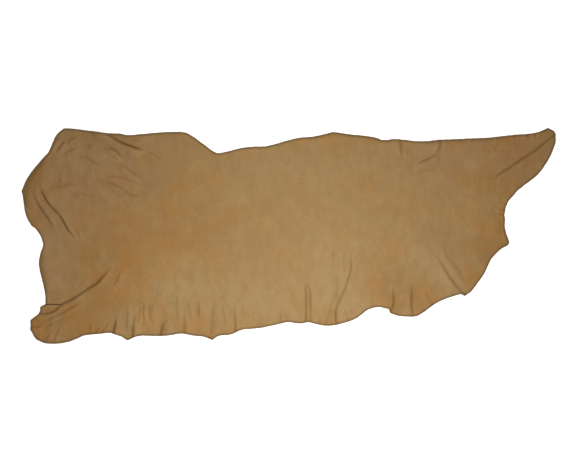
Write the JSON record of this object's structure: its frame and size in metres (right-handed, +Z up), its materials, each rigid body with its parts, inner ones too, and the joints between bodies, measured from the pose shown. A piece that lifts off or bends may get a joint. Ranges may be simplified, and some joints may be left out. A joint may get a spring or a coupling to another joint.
{
  "type": "leather hide",
  "caption": "Half cattle hide of smooth tan leather, lying flat with its grain side up, with an uneven knife-cut outline and low folds at the legs, belly and neck.",
  "frame": {"origin": "under the middle of the sheet's bounding box, on the surface that it lies on", "axes": "+X along the hide from the hip to the neck, +Y from the belly to the backbone, +Z up through the grain side"},
  "size_m": [2.5, 1.0116, 0.0215],
  "materials": {
    "leather": "smooth matt natural tan grain with a nap on the flesh side"
  },
  "bodies": {
    "root": {"hide": "leather"}
  },
  "joints": []
}
